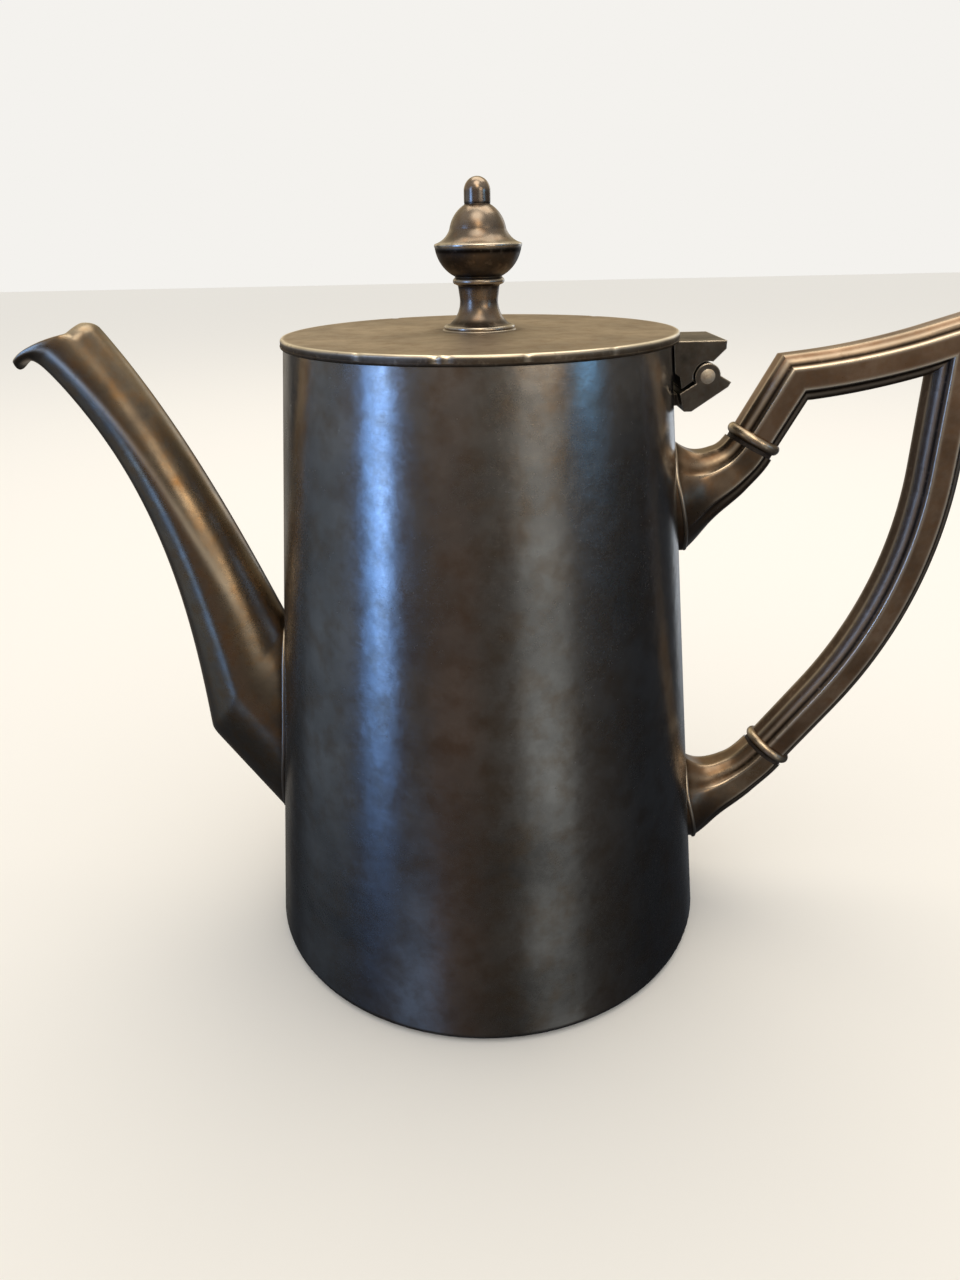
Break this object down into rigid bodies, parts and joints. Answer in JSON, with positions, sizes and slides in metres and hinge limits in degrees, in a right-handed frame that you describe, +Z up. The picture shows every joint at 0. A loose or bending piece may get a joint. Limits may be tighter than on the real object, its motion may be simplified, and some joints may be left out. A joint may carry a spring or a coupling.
{
  "type": "serving pot with hinged lid",
  "caption": "Tall tapered silver-plated serving pot with a keeled spout, a hinged lid with a turned finial, and a moulded handle held in flared sockets.",
  "frame": {"origin": "on the pot's axis, in the plane of the table it stands on", "axes": "+Z up along the pot's axis, +X towards the handle and the hinge, so the spout points to -X"},
  "size_m": [0.1868, 0.0996, 0.1575],
  "materials": {
    "body_plate": "tarnished silver plate, satin with worn patches",
    "base_plate": "tarnished silver plate, scuffed",
    "spout_plate": "tarnished silver plate with a bronze tint",
    "hinge_plate": "tarnished silver plate, filed edges worn bright",
    "socket_plate": "tarnished silver plate over a casting",
    "collar_plate": "silver plate, bead worn bright",
    "handle_plate": "brown tarnished silver plate, ridges worn bright",
    "lid_plate": "matt tarnished silver plate, rim worn bright",
    "finial_plate": "turned and plated, bronze tint",
    "pin_metal": "bright peened nickel silver",
    "stud_metal": "plain turned brass, dull",
    "insulator_fibre": "dark vulcanised fibre"
  },
  "bodies": {
    "pot": {"body_shell": "body_plate", "base_plate": "base_plate", "spout": "spout_plate", "hinge_bracket": "hinge_plate", "hinge_pin": "pin_metal", "upper_handle_socket": "socket_plate", "lower_handle_socket": "socket_plate", "upper_insulator": "insulator_fibre", "lower_insulator": "insulator_fibre", "upper_collar": "collar_plate", "lower_collar": "collar_plate", "handle_grip": "handle_plate", "upper_handle_pin": "pin_metal", "lower_handle_pin": "pin_metal"},
    "lid": {"lid_plate": "lid_plate", "lid_flange": "lid_plate", "lid_hinge_lug": "hinge_plate", "finial_knob": "finial_plate", "finial_stud": "stud_metal", "finial_washer": "stud_metal", "finial_nut": "stud_metal"}
  },
  "joints": [
    {"name": "lid_hinge", "type": "hinge", "parent": "pot", "child": "lid", "pos_m": [0.04285, 0, 0.1231], "axis": [0, 1, 0], "range_deg": [0, 75]}
  ]
}
